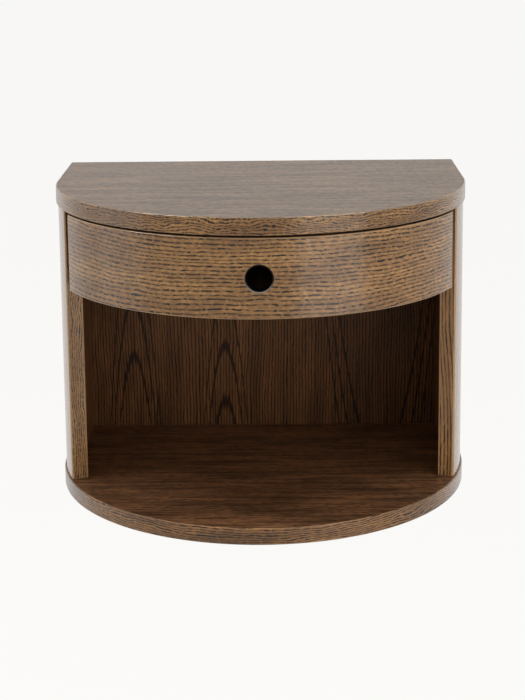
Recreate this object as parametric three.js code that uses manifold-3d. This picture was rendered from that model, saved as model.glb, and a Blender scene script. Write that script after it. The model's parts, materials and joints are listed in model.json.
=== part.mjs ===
// Floating nightstand: a half-round wall cabinet with one curved drawer over an open compartment.
// Millimetres. X runs across the front, +Y towards the wall, +Z up. The origin is the middle of the base.

import * as THREE from 'three';
import { mergeVertices } from 'three/addons/utils/BufferGeometryUtils.js';
import Module from 'manifold-3d';

const wasm = await Module();
wasm.setup();

// Carcass boards
const width = 400;
const straightDepth = 115; // from the wall to where the half circle starts
const height = 300;
const boardThickness = 16;
const edgeRound = 1; // rounding of the long edges
const cornerRound = 1.7; // rounding of the upright corners
const sideInset = 1.8; // sides stand in from the edge of the slabs
const sideSetback = 130; // from the front of the slabs to the front edge of a side
const glueLine = 0.1; // between two glued boards
const holeClearance = 0.1; // round a dowel or a screw, and past its end

// Drawer front
const frontThickness = 16;
const frontInset = 0.5; // behind the edge of the slabs
const frontHeight = 73;
const frontGap = 2; // shadow gap under the top slab
const frontEndGap = 14.6; // along the curve, from the front edge of a side to the end of the front
const fingerHoleDiameter = 26;
const fingerHoleRaise = 4.5; // from the drawer bottom up to the hole
const linerWall = 1.2; // black sleeve in the finger hole
const linerPlay = 0.1;

// Drawer box
const drawerSideThickness = 12;
const drawerBackThickness = 12;
const drawerSideHeight = 54;
const drawerSideDrop = 13; // from the underside of the top slab to the top of the drawer box
const drawerRearGap = 5; // from the drawer back to the back panel
const bottomThickness = 4;
const bottomRaise = 7; // from the lower edge of the sides to the drawer bottom
const grooveDepth = 5;
const housingDepth = 4; // slot in each drawer side that takes the drawer back
const grooveClearance = 0.15;

// Battens that carry the runners
const battenThickness = 16; // inwards from the straight stretch of a side
const battenHeight = 67;
const battenSetback = 3; // behind the front edge of the side
const battenNose = 3; // least thickness at the front end

// Telescopic runners, three members with two ball cages a side
const runnerRearGap = 10.35; // from the runners to the back panel, which makes them 150 long
const runnerHeight = 45;
const runnerSheet = 1.1;
const bendRadius = 1.2;
const ballDiameter = 3.2;
const ballPlay = 0.08; // between a ball and its race
const raceDepth = 0.5;
const flangeRim = 0.4; // flat beside a race, before a bend or an end
const flangeLip = 1.2; // flat past the last race of the cabinet and drawer members
const raceSpacing = 0.75; // between the two races of the middle member
const webGap = 0.4; // between the web of a member and the cage beside it
const cageSheet = 0.5;
const cageLength = 60;
const cageRim = 2; // cage flange past the middle of its balls
const ballPitch = 14;
const ballsInRow = 4;
const slotLength = 12; // adjusting slots in the members
const slotWidth = 4.5;
const slotSpacing = 48;
const windowLength = 70; // access window in the middle member
const windowHeight = 14;
const windowCorner = 3;

// Wood screws
const screwShankDiameter = 3.5;
const screwHeadDiameter = 6.6;
const screwHeadHeight = 1.9;
const cabinetScrewLength = 20;
const drawerScrewLength = 11;
const plateScrewLength = 12;
const screwTip = 2.5; // pointed end
const panHeadGap = 0.1; // under the head of a drawer screw
const screwEndOffset = 18; // from the ends of a runner to its screws
const driveWidth = 0.9; // cross recess
const driveSpan = 3.2;
const driveDepth = 1.1;

// Dowels
const dowelDiameter = 8;
const dowelLength = 30;
const dowelChamfer = 1;
const dowelInFace = 10; // the stretch of a dowel in the face of a board
const drawerDowelDiameter = 6;
const drawerDowelLength = 25;
const drawerDowelInFace = 9;
const drawerDowelToTop = 10; // from the top of a drawer side to the middle of its upper dowel
const drawerDowelSpacing = 24;
const rearDowelToWall = 40;
const frontDowelToEdge = 28; // along the side, from its front edge
const backDowelSpacing = 120;
const backEndDowelSpacing = 150;

// Keyhole plates let into the back panel
const plateToSide = 80; // from the side of the cabinet to the middle of a plate
const plateToTop = 58; // from the top of the cabinet to the middle of a plate
const plateWidth = 24;
const plateHeight = 60;
const plateThickness = 2;
const plateClearance = 0.15;
const keyEntryDiameter = 10;
const keySlotWidth = 5.2;
const keySlotLength = 13;
const keyEntryDrop = 7; // from the middle of a plate down to the middle of its entry hole
const plateScrewSpacing = 46;
const pocketDepth = 8; // room behind a plate for the head of the wall screw
const pocketWidth = 13;
const pocketMargin = 2; // pocket past the ends of the keyhole

const overrun = 1; // cutters run this far past the face they open

// Facets in a full circle, and in a rounded corner or edge
const roundSteps = 96;
const fingerHoleSteps = 32;
const holeSteps = 10;
const raceSteps = 16;
const ballSteps = 8;
const ballRings = 5;
const cornerSteps = 2;
const plateCornerSteps = 3;

// Places that follow from those sizes
const outlineRadius = width / 2;
const depth = straightDepth + outlineRadius;
const wallY = depth / 2;
const arcY = wallY - straightDepth; // centre line of the half circle
const sideOuter = outlineRadius - sideInset;
const sideInner = sideOuter - boardThickness;
const sideAngle = Math.asin((outlineRadius - sideSetback) / sideOuter);
const innerHeight = height - 2 * boardThickness;
const backFaceY = wallY - boardThickness;
const backMiddleY = wallY - boardThickness / 2;
const frontOuter = outlineRadius - frontInset;
const frontInner = frontOuter - frontThickness;
const frontAngle = sideAngle + frontEndGap / frontOuter;
const frontTopZ = height - boardThickness - frontGap;
const frontBottomZ = frontTopZ - frontHeight;
const raceRadius = ballDiameter / 2 + ballPlay + runnerSheet / 2;
const raceHalfAngle = Math.acos(1 - raceDepth / raceRadius);
const raceHalf = raceRadius * Math.sin(raceHalfAngle);
const middleWebX = runnerSheet + 2 * webGap + cageSheet + runnerSheet / 2;
const outerBallX = middleWebX + bendRadius + flangeRim + raceHalf;
const innerBallX = outerBallX + 2 * raceHalf + raceSpacing;
const drawerWebX = innerBallX + raceHalf + flangeRim + bendRadius;
const runnerWidth = drawerWebX + runnerSheet / 2;
const battenInner = sideInner - battenThickness;
const battenOuter = sideInner - glueLine;
const battenReach = Math.min(
  sideInner * Math.sin(sideAngle) - battenSetback,
  Math.sqrt(battenOuter ** 2 - (battenInner + battenNose) ** 2),
); // forward of the centre line of the half circle
const battenFrontY = arcY - battenReach;
const runnerLength = backFaceY - runnerRearGap - battenFrontY;
const drawerSideOuter = battenInner - runnerWidth;
const drawerSideInner = drawerSideOuter - drawerSideThickness;
const drawerSideTopZ = height - boardThickness - drawerSideDrop;
const drawerSideBottomZ = drawerSideTopZ - drawerSideHeight;
const drawerSideMiddleZ = drawerSideBottomZ + drawerSideHeight / 2;
const bottomZ = drawerSideBottomZ + bottomRaise;
const fingerHoleZ = bottomZ + bottomThickness + fingerHoleRaise + fingerHoleDiameter / 2;
const drawerRearY = backFaceY - drawerRearGap;
const drawerBackY = drawerRearY - drawerBackThickness;
const plateZ = height - plateToTop;

const up = Math.PI / 2;

// Solids
function toSolid(geometry) {
  const bare = geometry.clone();
  bare.deleteAttribute('normal');
  bare.deleteAttribute('uv');
  const merged = mergeVertices(bare);
  const corners = Array.from(merged.index.array);
  const faces = [];
  for (let i = 0; i < corners.length; i += 3) {
    const [a, b, c] = corners.slice(i, i + 3);
    if (a !== b && b !== c && c !== a) faces.push(a, b, c);
  }
  const vertProperties = new Float32Array(merged.attributes.position.array);
  const triVerts = new Uint32Array(faces);
  return new wasm.Manifold(new wasm.Mesh({ numProp: 3, vertProperties, triVerts }));
}

function toGeometry(solid) {
  const { vertProperties, triVerts } = solid.getMesh();
  const geometry = new THREE.BufferGeometry();
  geometry.setAttribute('position', new THREE.BufferAttribute(vertProperties, 3));
  geometry.setIndex(new THREE.BufferAttribute(triVerts, 1));
  geometry.computeVertexNormals();
  return geometry;
}

function cut(blank, cutters) {
  return cutters.reduce((solid, cutter) => solid.subtract(toSolid(cutter)), toSolid(blank));
}

function join(geometries) {
  return geometries.map(toSolid).reduce((whole, solid) => whole.add(solid));
}

// Outlines
function arcPoints(radius, from, to, centre = [0, arcY], circleSteps = roundSteps) {
  const steps = Math.max(1, Math.round((Math.abs(to - from) / (2 * Math.PI)) * circleSteps));
  return Array.from({ length: steps + 1 }, (_, i) => {
    const angle = from + ((to - from) * i) / steps;
    return new THREE.Vector2(centre[0] + radius * Math.cos(angle), centre[1] + radius * Math.sin(angle));
  });
}

// Rounds each sharp corner of an outline, and leaves the facets of its curves as they are
function roundCorners(points, radius, closed = true, steps = cornerSteps) {
  const sharp = Math.PI / 4;
  return points.flatMap((corner, i) => {
    if (!closed && (i === 0 || i === points.length - 1)) return [corner];
    const before = points[(i + points.length - 1) % points.length].clone().sub(corner).normalize();
    const after = points[(i + 1) % points.length].clone().sub(corner).normalize();
    const inside = Math.acos(THREE.MathUtils.clamp(before.dot(after), -1, 1));
    if (Math.PI - inside < sharp) return [corner];
    const middle = before.clone().add(after).normalize();
    const centre = corner.clone().addScaledVector(middle, radius / Math.sin(inside / 2));
    const start = corner.clone().addScaledVector(before, radius / Math.tan(inside / 2)).sub(centre);
    const end = corner.clone().addScaledVector(after, radius / Math.tan(inside / 2)).sub(centre);
    const turn = Math.atan2(start.cross(end), start.dot(end));
    return Array.from({ length: steps + 1 }, (_, k) =>
      start.clone().rotateAround(new THREE.Vector2(), (turn * k) / steps).add(centre));
  });
}

// A plan outline raised to a board with rounded edges, its lower face at z = 0
function board(outline, thickness, round = edgeRound, corner = cornerRound) {
  const geometry = new THREE.ExtrudeGeometry(new THREE.Shape(roundCorners(outline, corner)), {
    depth: thickness - 2 * round,
    bevelThickness: round,
    bevelSize: round,
    bevelOffset: -round,
    bevelSegments: cornerSteps,
  });
  return geometry.translate(0, 0, round);
}

function prism(outline, thickness) {
  return new THREE.ExtrudeGeometry(new THREE.Shape(outline), { depth: thickness, bevelEnabled: false });
}

function block(low, high) {
  const size = high.map((value, i) => value - low[i]);
  const middle = high.map((value, i) => (value + low[i]) / 2);
  return new THREE.BoxGeometry(...size).translate(...middle);
}

// A section drawn in X and Z, run from y = 0 to y = length
function runAlongY(outline, length) {
  return prism(outline, length).rotateX(up).translate(0, length, 0);
}

// A cylinder of a radius from one point to another
function rod(radius, from, to, steps = holeSteps) {
  const start = new THREE.Vector3(...from);
  const way = new THREE.Vector3(...to).sub(start);
  const geometry = new THREE.CylinderGeometry(radius, radius, way.length(), steps);
  const turn = new THREE.Quaternion().setFromUnitVectors(THREE.Object3D.DEFAULT_UP, way.clone().normalize());
  return geometry.applyQuaternion(turn).translate(...start.addScaledVector(way, 1 / 2).toArray());
}

// A drilled hole: its flats, not its corners, lie at the radius, so that a rod of that radius fits
const flatsOut = 1 / Math.cos(Math.PI / holeSteps);

function drilled(radius, from, to) {
  return rod(radius * flatsOut, from, to);
}

function revolve(profile) {
  const points = profile.map(([radius, along]) => new THREE.Vector2(radius, along));
  return new THREE.LatheGeometry(points, holeSteps);
}

// Both sides of a bent strip of sheet, from the line along its middle
function stripOutline(middle, thickness) {
  const offset = (side) => middle.map((point, i) => {
    const before = middle[Math.max(i - 1, 0)];
    const after = middle[Math.min(i + 1, middle.length - 1)];
    const into = point.clone().sub(before).normalize();
    const out = after.clone().sub(point).normalize();
    const along = into.clone().add(out).normalize();
    const reach = Math.max(along.dot(into), along.dot(out));
    const shift = (side * thickness) / 2 / reach;
    return new THREE.Vector2(point.x - along.y * shift, point.y + along.x * shift);
  });
  return [...offset(-1), ...offset(1).reverse()];
}

// Finishes
const oak = { color: 0x7d5a3a, roughness: 0.45, metalness: 0 };
const plainWood = { color: 0xc9ac84, roughness: 0.7, metalness: 0 };
const zinc = { color: 0xb9bcc0, roughness: 0.35, metalness: 1 };
const black = { color: 0x111111, roughness: 0.4, metalness: 0 };

function piece(name, geometry, finish, position = [0, 0, 0], rotation = [0, 0, 0]) {
  const solid = geometry instanceof THREE.BufferGeometry ? toSolid(geometry) : geometry;
  const mesh = new THREE.Mesh(toGeometry(solid), new THREE.MeshStandardMaterial(finish));
  mesh.name = name;
  mesh.position.set(...position);
  mesh.rotation.set(...rotation);
  return mesh;
}

// Dowels, each with its middle at its own origin and its axis along Y
function dowelGeometry(diameter, length) {
  const radius = diameter / 2;
  const half = length / 2;
  const neck = radius - dowelChamfer / 2;
  const profile = [
    [0, -half], [neck, -half], [radius, dowelChamfer - half],
    [radius, half - dowelChamfer], [neck, half], [0, half],
  ];
  return revolve(profile);
}

const dowelHoleRadius = dowelDiameter / 2 + holeClearance;
const drawerDowelHoleRadius = drawerDowelDiameter / 2 + holeClearance;
const dowelInEnd = dowelLength - dowelInFace;

// Screws, pointing along -Y with the top of the head at y = 0
function screwGeometry(length, countersunk) {
  const shank = screwShankDiameter / 2;
  const head = screwHeadDiameter / 2;
  const underHead = countersunk
    ? [[head, 0], [shank, -screwHeadHeight]]
    : [[head - screwHeadHeight / 2, 0], [head, -screwHeadHeight / 2], [head, -screwHeadHeight],
      [shank, -screwHeadHeight]];
  const profile = [[0, 0], ...underHead, [shank, screwTip - length], [0, -length]];
  const body = revolve(profile.reverse());
  const across = [driveSpan / 2, overrun, driveWidth / 2];
  const recess = [across, [...across].reverse()].map(([x, y, z]) => block([-x, -driveDepth, -z], [x, y, z]));
  return cut(body, recess);
}

// Room for a countersunk screw whose head lies in the face at y = 0, pointing along -Y
function screwHoleGeometry(length) {
  const shank = (screwShankDiameter / 2 + holeClearance) * flatsOut;
  const head = (screwHeadDiameter / 2 + holeClearance) * flatsOut;
  const end = -length - holeClearance;
  const inBoard = [[0, end], [shank, end], [shank, -screwHeadHeight]];
  return revolve([...inBoard, [head, 0], [head, overrun], [0, overrun]]);
}

// Plan outlines of the carcass, with +x the outer side of each half
const slabOutline = [
  new THREE.Vector2(-outlineRadius, wallY),
  ...arcPoints(outlineRadius, Math.PI, 2 * Math.PI),
  new THREE.Vector2(outlineRadius, wallY),
];
const sideOutline = [
  new THREE.Vector2(sideInner, wallY),
  ...arcPoints(sideInner, 0, -sideAngle),
  ...arcPoints(sideOuter, -sideAngle, 0),
  new THREE.Vector2(sideOuter, wallY),
];

// Dowel places of the carcass: under and over each side, over and under the back, and at its ends
const sideMiddle = sideOuter - boardThickness / 2;
const frontDowelAngle = sideAngle - frontDowelToEdge / sideMiddle;
const sideDowels = {
  rear: [sideMiddle, wallY - rearDowelToWall],
  front: [sideMiddle * Math.cos(frontDowelAngle), arcY - sideMiddle * Math.sin(frontDowelAngle)],
};
const backDowelX = backDowelSpacing / 2;
const backEndDowels = {
  lower: (height - backEndDowelSpacing) / 2,
  upper: (height + backEndDowelSpacing) / 2,
};
const slabDowelPlaces = [-1, 1].flatMap((hand) => [
  ...Object.values(sideDowels).map(([x, y]) => [hand * x, y]),
  [hand * backDowelX, backMiddleY],
]);

function slab(name, z, holeFrom, holeTo) {
  const holes = slabDowelPlaces.map(([x, y]) => drilled(dowelHoleRadius, [x, y, holeFrom], [x, y, holeTo]));
  return piece(name, cut(board(slabOutline, boardThickness), holes), oak, [0, 0, z]);
}

const holeInFace = dowelInFace + holeClearance;
const holeInEnd = dowelInEnd + holeClearance;
const topZ = height - boardThickness;

function slabs() {
  return [
    slab('top_panel', topZ, -overrun, holeInFace),
    slab('bottom_panel', 0, boardThickness - holeInFace, boardThickness + overrun),
  ];
}

// Runner screws, in the frame of one side with +x outwards
const runnerY = battenFrontY;
const runnerZ = drawerSideMiddleZ;
const runnerScrews = {
  front: runnerY + screwEndOffset,
  rear: runnerY + runnerLength - screwEndOffset,
};
const cabinetScrewHeadX = battenInner - runnerSheet;

function cabinetScrewHoles() {
  return Object.values(runnerScrews).map((y) =>
    screwHoleGeometry(cabinetScrewLength).rotateZ(up).translate(cabinetScrewHeadX, y, runnerZ));
}

// One side of the carcass with its batten and dowels, drawn for +x
const sideZ = boardThickness + glueLine;
const sideHeight = innerHeight - 2 * glueLine;

function sidePanel(hand) {
  const endHoles = Object.values(sideDowels).flatMap(([x, y]) => [
    drilled(dowelHoleRadius, [x, y, -overrun], [x, y, holeInEnd]),
    drilled(dowelHoleRadius, [x, y, sideHeight - holeInEnd], [x, y, sideHeight + overrun]),
  ]);
  const faceHoles = Object.values(backEndDowels).map((z) =>
    drilled(dowelHoleRadius, [sideInner - overrun, backMiddleY, z - sideZ],
      [sideInner + holeInFace, backMiddleY, z - sideZ]));
  const screwHoles = cabinetScrewHoles().map((hole) => hole.translate(0, 0, -sideZ));
  const solid = cut(board(sideOutline, sideHeight), [...endHoles, ...faceHoles, ...screwHoles]);
  return piece(`side_panel_${hand}`, solid, oak, [0, 0, sideZ]);
}

function batten(hand) {
  const frontAt = Math.asin(battenReach / battenOuter);
  const rearY = backFaceY - glueLine;
  const outline = [
    new THREE.Vector2(battenInner, rearY),
    new THREE.Vector2(battenInner, battenFrontY),
    ...arcPoints(battenOuter, -frontAt, 0),
    new THREE.Vector2(battenOuter, rearY),
  ];
  const z = topZ - glueLine - battenHeight;
  const holes = cabinetScrewHoles().map((hole) => hole.translate(0, 0, -z));
  return piece(`runner_batten_${hand}`, cut(prism(outline, battenHeight), holes), plainWood, [0, 0, z]);
}

const dowelMiddle = dowelLength / 2 - dowelInFace; // past the joint, to the middle of a dowel
const dowelLevels = { bottom: boardThickness + dowelMiddle, top: topZ - dowelMiddle };

function carcassDowel(name, position, rotation) {
  return piece(name, dowelGeometry(dowelDiameter, dowelLength), plainWood, position, rotation);
}

function sideDowelPieces(hand) {
  const levels = Object.entries(dowelLevels);
  return Object.entries(sideDowels).flatMap(([end, [x, y]]) => levels.map(([level, z]) =>
    carcassDowel(`side_dowel_${hand}_${level}_${end}`, [x, y, z], [up, 0, 0])));
}

function backEndDowelPieces(hand) {
  return Object.entries(backEndDowels).map(([level, z]) =>
    carcassDowel(`back_end_dowel_${hand}_${level}`, [sideInner - dowelMiddle, backMiddleY, z], [0, 0, up]));
}

// The back panel, glued between the sides, with pockets for the keyhole plates in its rear face
const backHalf = sideInner - glueLine;

function roundedRectangle(wide, tall, radius) {
  const x = wide / 2;
  const y = tall / 2;
  const corners = [[-x, -y], [x, -y], [x, y], [-x, y]].map(([a, b]) => new THREE.Vector2(a, b));
  return roundCorners(corners, radius, true, plateCornerSteps);
}

// Turns a shape drawn in X and Y to stand in the rear face, growing from y = 0 towards the room
function letIntoRear(geometry, x, y, z) {
  return geometry.rotateX(up).translate(x, y, z);
}

const keyTop = keySlotLength + keySlotWidth / 2 - keyEntryDrop;
const keyBottom = -keyEntryDrop - keyEntryDiameter / 2;
const plateX = outlineRadius - plateToSide;
const plateScrewZ = [-1, 1].map((end) => (end * plateScrewSpacing) / 2);

function plateSeat(x) {
  const [seatWidth, seatHeight] = [plateWidth, plateHeight].map((size) => size + 2 * plateClearance);
  const seat = roundedRectangle(seatWidth, seatHeight, cornerRound);
  const pocket = roundedRectangle(pocketWidth, keyTop - keyBottom + 2 * pocketMargin, pocketWidth / 3);
  const seatDepth = plateThickness + plateClearance;
  const pocketZ = plateZ + (keyTop + keyBottom) / 2;
  const holes = plateScrewZ.map((z) =>
    screwHoleGeometry(plateScrewLength).translate(x, wallY, plateZ + z));
  return [
    letIntoRear(prism(seat, seatDepth + overrun), x, wallY + overrun, plateZ),
    letIntoRear(prism(pocket, seatDepth + pocketDepth + overrun), x, wallY + overrun, pocketZ),
    ...holes,
  ];
}

function backPanel() {
  const low = [-backHalf, backFaceY, boardThickness + glueLine];
  const high = [backHalf, wallY, topZ - glueLine];
  const upright = [-backDowelX, backDowelX].flatMap((x) => {
    const at = (z) => [x, backMiddleY, z];
    return [
      drilled(dowelHoleRadius, at(low[2] - overrun), at(boardThickness + holeInEnd)),
      drilled(dowelHoleRadius, at(topZ - holeInEnd), at(high[2] + overrun)),
    ];
  });
  const atEnds = [-1, 1].flatMap((hand) => Object.values(backEndDowels).map((z) =>
    drilled(dowelHoleRadius, [hand * (sideInner - holeInEnd), backMiddleY, z],
      [hand * (backHalf + overrun), backMiddleY, z])));
  const seats = [-plateX, plateX].flatMap(plateSeat);
  return piece('back_panel', cut(block(low, high), [...upright, ...atEnds, ...seats]), oak);
}

function backDowelPieces() {
  const hands = { left: -backDowelX, right: backDowelX };
  return Object.entries(hands).flatMap(([hand, x]) => Object.entries(dowelLevels).map(([level, z]) =>
    carcassDowel(`back_dowel_${hand}_${level}`, [x, backMiddleY, z], [up, 0, 0])));
}

// Keyhole plate: the wall screw's head goes in at the round hole and the cabinet drops onto its neck
function keyholePlate(hand, x) {
  const entry = arcPoints(keyEntryDiameter / 2, 0, 2 * Math.PI, [0, -keyEntryDrop], holeSteps);
  const slotTop = keySlotLength - keyEntryDrop;
  const slot = [
    new THREE.Vector2(-keySlotWidth / 2, -keyEntryDrop),
    new THREE.Vector2(keySlotWidth / 2, -keyEntryDrop),
    ...arcPoints(keySlotWidth / 2, 0, Math.PI, [0, slotTop], holeSteps),
  ];
  const through = (outline) => prism(outline, plateThickness + 2 * overrun).translate(0, 0, -overrun);
  const plate = prism(roundedRectangle(plateWidth, plateHeight, cornerRound), plateThickness);
  const holes = plateScrewZ.map((y) => screwHoleGeometry(plateScrewLength).rotateX(-up).translate(0, y, 0));
  const solid = cut(plate, [through(entry.slice(1)), through(slot), ...holes]);
  return piece(`keyhole_plate_${hand}`, solid, zinc, [x, wallY, plateZ], [up, 0, 0]);
}

function hangers() {
  const hands = { left: -plateX, right: plateX };
  const levels = { lower: plateScrewZ[0], upper: plateScrewZ[1] };
  return Object.entries(hands).flatMap(([hand, x]) => [
    keyholePlate(hand, x),
    ...Object.entries(levels).map(([level, z]) => {
      const place = [x, wallY, plateZ + z];
      return piece(`plate_screw_${hand}_${level}`, screwGeometry(plateScrewLength, true), zinc, place);
    }),
  ]);
}

// Runner sections, drawn with x from the mounting face towards the drawer and y upwards
const outerBallZ = runnerHeight / 2 - runnerSheet / 2 - raceRadius;
const middleFlangeZ = outerBallZ - raceRadius + raceDepth;
const innerBallZ = middleFlangeZ + raceDepth - raceRadius;

// The race over a ball, or under it, run from -x to +x
function race(x, z, side) {
  return arcPoints(raceRadius, side * (up + raceHalfAngle), side * (up - raceHalfAngle), [x, z], raceSteps);
}

// The upper half of a member's middle line, from its web out along its flange, made into the whole section
function memberOutline(webX, races, lipX) {
  const flangeZ = races[0].y;
  const half = [new THREE.Vector2(webX, flangeZ), ...races, new THREE.Vector2(lipX, races.at(-1).y)];
  const lower = half.map((point) => new THREE.Vector2(point.x, -point.y)).reverse();
  return stripOutline(roundCorners([...lower, ...half], bendRadius, false), runnerSheet);
}

const cabinetMember = memberOutline(
  runnerSheet / 2,
  race(outerBallX, outerBallZ, 1),
  outerBallX + raceHalf + flangeLip,
);
const middleMember = memberOutline(
  middleWebX,
  [...race(outerBallX, outerBallZ, -1), ...race(innerBallX, innerBallZ, 1)],
  drawerWebX - runnerSheet / 2 - webGap,
);
const drawerMember = memberOutline(
  drawerWebX,
  race(innerBallX, innerBallZ, -1).reverse(),
  innerBallX - raceHalf - flangeLip,
);

// A slot with round ends, long side along X
function slotOutline(long, tall) {
  const radius = tall / 2;
  const reach = long / 2 - radius;
  return [
    ...arcPoints(radius, -up, up, [reach, 0], holeSteps),
    ...arcPoints(radius, up, 3 * up, [-reach, 0], holeSteps),
  ];
}

// Stands an outline up in a web, its X along the runner
function throughWeb(outline, x, y) {
  return prism(outline, 2 * runnerSheet).rotateX(up).rotateZ(up).translate(x - runnerSheet, y, 0);
}

// A pair of adjusting slots, either side of the middle of a web
function webSlots(x) {
  return [-1, 1].map((end) =>
    throughWeb(slotOutline(slotLength, slotWidth), x, (runnerLength + end * slotSpacing) / 2));
}

function screwRows(rowX) {
  return Object.values(runnerScrews).map((y) => [rowX, y - runnerY, 0]);
}

function cabinetRunner(hand) {
  const holes = screwRows(runnerSheet).map((place) =>
    screwHoleGeometry(cabinetScrewLength).rotateZ(-up).translate(...place));
  const blank = runAlongY(cabinetMember, runnerLength);
  return piece(`cabinet_runner_${hand}`, cut(blank, [...webSlots(runnerSheet / 2), ...holes]), zinc);
}

function middleRunner(hand) {
  const outline = roundedRectangle(windowLength, windowHeight, windowCorner);
  const window = throughWeb(outline, middleWebX, runnerLength / 2);
  return piece(`middle_runner_${hand}`, cut(runAlongY(middleMember, runnerLength), [window]), zinc);
}

function drawerRunner(hand) {
  const radius = screwShankDiameter / 2 + holeClearance;
  const holes = screwRows(drawerWebX).map(([x, y, z]) =>
    drilled(radius, [x - runnerSheet, y, z], [x + runnerSheet, y, z]));
  const blank = runAlongY(drawerMember, runnerLength);
  return piece(`drawer_runner_${hand}`, cut(blank, [...webSlots(drawerWebX), ...holes]), zinc);
}

// A ball cage: a bent strip with its balls held half way through its flanges
function ballCage(name, webX, ballX, ballZ) {
  const corners = [[ballX + cageRim, -ballZ], [webX, -ballZ], [webX, ballZ], [ballX + cageRim, ballZ]];
  const middle = roundCorners(corners.map(([x, z]) => new THREE.Vector2(x, z)), bendRadius, false);
  const strip = runAlongY(stripOutline(middle, cageSheet), cageLength);
  const firstBall = (cageLength - (ballsInRow - 1) * ballPitch) / 2;
  const balls = [-ballZ, ballZ].flatMap((z) => Array.from({ length: ballsInRow }, (_, i) =>
    new THREE.SphereGeometry(ballDiameter / 2, ballSteps, ballRings).rotateX(up)
      .translate(ballX, firstBall + i * ballPitch, z)));
  return piece(name, join([strip, ...balls]), zinc, [0, (runnerLength - cageLength) / 2, 0]);
}

function ballCages(hand) {
  const outerWebX = runnerSheet + webGap + cageSheet / 2;
  const innerWebX = middleWebX + runnerSheet / 2 + webGap + cageSheet / 2;
  return [
    ballCage(`outer_ball_cage_${hand}`, outerWebX, outerBallX, outerBallZ),
    ballCage(`inner_ball_cage_${hand}`, innerWebX, innerBallX, innerBallZ),
  ];
}

function runnerScrewPieces(hand) {
  return Object.entries(runnerScrews).flatMap(([end, y]) => [
    piece(`cabinet_runner_screw_${hand}_${end}`, screwGeometry(cabinetScrewLength, true), zinc,
      [runnerSheet, y - runnerY, 0], [0, 0, -up]),
    piece(`drawer_runner_screw_${hand}_${end}`, screwGeometry(drawerScrewLength, false), zinc,
      [runnerWidth - runnerSheet - screwHeadHeight - panHeadGap, y - runnerY, 0], [0, 0, up]),
  ]);
}

// A runner is drawn for the left side of the cabinet, with +x from the batten towards the drawer.
// The right one is the same runner rolled over about its length
function runner(hand) {
  const group = new THREE.Group();
  group.add(cabinetRunner(hand), middleRunner(hand), drawerRunner(hand), ...ballCages(hand));
  group.add(...runnerScrewPieces(hand));
  return group;
}

// Drawer
function drawerBottomOutline(extra) {
  const half = drawerSideInner + grooveDepth - grooveClearance + extra;
  const radius = frontInner + grooveDepth - grooveClearance + extra;
  const end = Math.acos(half / radius);
  const rearY = drawerBackY + grooveDepth - grooveClearance + extra;
  return [
    new THREE.Vector2(-half, rearY),
    ...arcPoints(radius, Math.PI + end, 2 * Math.PI - end),
    new THREE.Vector2(half, rearY),
  ];
}

function bottomGroove() {
  const tall = bottomThickness + 2 * grooveClearance;
  return prism(drawerBottomOutline(grooveClearance), tall).translate(0, 0, bottomZ - grooveClearance);
}

// Plan of the drawer front
function frontOutline(outer, inner) {
  return [
    ...arcPoints(outer, Math.PI + frontAngle, 2 * Math.PI - frontAngle),
    ...arcPoints(inner, 2 * Math.PI - frontAngle, Math.PI + frontAngle),
  ];
}

const drawerSideMiddle = (drawerSideOuter + drawerSideInner) / 2;
const drawerDowelLevels = {
  lower: drawerSideTopZ - drawerDowelToTop - drawerDowelSpacing,
  upper: drawerSideTopZ - drawerDowelToTop,
};
const drawerDowelY = arcY - Math.sqrt(frontInner ** 2 - drawerSideMiddle ** 2);

function drawerDowelHoles(x) {
  const from = drawerDowelY - drawerDowelInFace - holeClearance;
  const to = drawerDowelY + drawerDowelLength - drawerDowelInFace + holeClearance;
  return Object.values(drawerDowelLevels).map((z) =>
    drilled(drawerDowelHoleRadius, [x, from, z], [x, to, z]));
}

function drawerFront() {
  const blank = board(frontOutline(frontOuter, frontInner), frontHeight).translate(0, 0, frontBottomZ);
  const radius = fingerHoleDiameter / 2;
  const hole = rod(radius, [0, arcY - frontOuter - overrun, fingerHoleZ],
    [0, arcY - frontInner + overrun, fingerHoleZ], fingerHoleSteps);
  const dowels = [-drawerSideMiddle, drawerSideMiddle].flatMap(drawerDowelHoles);
  return piece('drawer_front', cut(blank, [hole, bottomGroove(), ...dowels]), oak);
}

// A sleeve in the finger hole, its ends trimmed flush with the two faces of the drawer front
function fingerHoleLiner() {
  const outer = fingerHoleDiameter / 2 - linerPlay;
  const from = [0, arcY - frontOuter - overrun, fingerHoleZ];
  const to = [0, arcY - frontInner + overrun, fingerHoleZ];
  const bore = [[0, from[1] - overrun, fingerHoleZ], [0, to[1] + overrun, fingerHoleZ]];
  const sleeve = toSolid(rod(outer, from, to, fingerHoleSteps))
    .subtract(toSolid(rod(outer - linerWall, bore[0], bore[1], fingerHoleSteps)));
  const face = prism(frontOutline(frontOuter, frontInner), frontHeight).translate(0, 0, frontBottomZ);
  return piece('finger_hole_liner', sleeve.intersect(toSolid(face)), black);
}

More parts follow.
